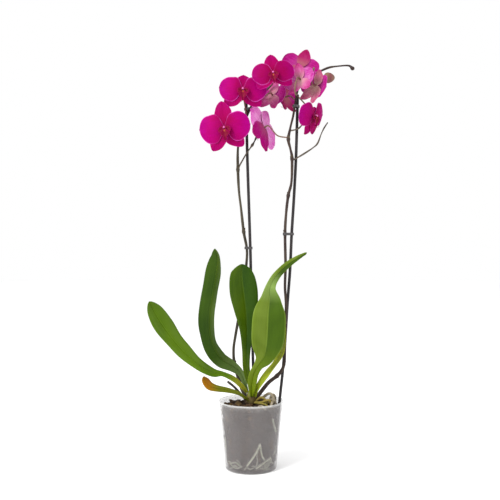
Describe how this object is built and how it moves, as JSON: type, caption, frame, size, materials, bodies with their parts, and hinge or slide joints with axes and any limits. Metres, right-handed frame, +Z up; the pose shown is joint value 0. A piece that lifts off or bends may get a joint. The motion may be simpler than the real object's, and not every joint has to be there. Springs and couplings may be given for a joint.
{
  "type": "potted orchid",
  "caption": "Moth orchid in a clear tapered nursery pot: strap leaves, flower spikes clipped to stakes, magenta flowers and a bud.",
  "frame": {"origin": "middle of the flat underside of the pot", "axes": "+Z up along the pot's axis; the plant's front looks along -Y, its right is +X"},
  "size_m": [0.3848, 0.1352, 0.8042],
  "materials": {
    "pot_clear": "clear, slightly greyed, smooth",
    "bark": "damp chipped bark, dull and coarse",
    "stake_dark": "dark dyed stick, satin",
    "clip_dark": "dull, soft",
    "leaf_green": "living leaf, waxy, fleshy, semi-gloss",
    "leaf_old": "ageing leaf, yellow to orange, waxy",
    "stem_green": "living stem, sheathed by leaf bases",
    "spike_olive": "living flower stem, olive brown, satin",
    "stub_dry": "dried stem, dull and wrinkled",
    "root_pale": "living root with a silvery green skin, dull",
    "petal_magenta": "living petal, velvety, veined, pale rim",
    "sepal_magenta": "living sepal, velvety, crimson towards the middle",
    "lip_crimson": "living lip, waxy, dark crimson with an orange crest",
    "bud_pink": "unopened bud, waxy, brownish pink"
  },
  "bodies": {
    "root": {"pot": "pot_clear", "bark_medium": "bark", "stake_left": "stake_dark", "stake_right": "stake_dark", "clip_lower_left": "clip_dark", "clip_upper_left": "clip_dark", "clip_lower_right": "clip_dark", "clip_upper_right": "clip_dark", "leaf_long_left": "leaf_green", "leaf_tall_left": "leaf_green", "leaf_middle": "leaf_green", "leaf_front": "leaf_green", "leaf_narrow_right": "leaf_green", "leaf_short_yellow": "leaf_old", "crown_stem": "stem_green", "old_spike_stub": "stub_dry", "flower_spike_left": "spike_olive", "flower_spike_right": "spike_olive", "flower_bud": "bud_pink", "air_root_1": "root_pale", "air_root_2": "root_pale", "air_root_3": "root_pale", "wall_root_1": "root_pale", "wall_root_2": "root_pale", "wall_root_3": "root_pale", "wall_root_4": "root_pale", "wall_root_5": "root_pale", "wall_root_6": "root_pale", "flower_1_sepals": "sepal_magenta", "flower_1_petals": "petal_magenta", "flower_1_lip": "lip_crimson", "flower_2_sepals": "sepal_magenta", "flower_2_petals": "petal_magenta", "flower_2_lip": "lip_crimson", "flower_3_sepals": "sepal_magenta", "flower_3_petals": "petal_magenta", "flower_3_lip": "lip_crimson", "flower_4_sepals": "sepal_magenta", "flower_4_petals": "petal_magenta", "flower_4_lip": "lip_crimson", "flower_5_sepals": "sepal_magenta", "flower_5_petals": "petal_magenta", "flower_5_lip": "lip_crimson", "flower_6_sepals": "sepal_magenta", "flower_6_petals": "petal_magenta", "flower_6_lip": "lip_crimson", "flower_7_sepals": "sepal_magenta", "flower_7_petals": "petal_magenta", "flower_7_lip": "lip_crimson", "flower_8_sepals": "sepal_magenta", "flower_8_petals": "petal_magenta", "flower_8_lip": "lip_crimson", "flower_9_sepals": "sepal_magenta", "flower_9_petals": "petal_magenta", "flower_9_lip": "lip_crimson", "flower_10_sepals": "sepal_magenta", "flower_10_petals": "petal_magenta", "flower_10_lip": "lip_crimson"}
  },
  "joints": []
}
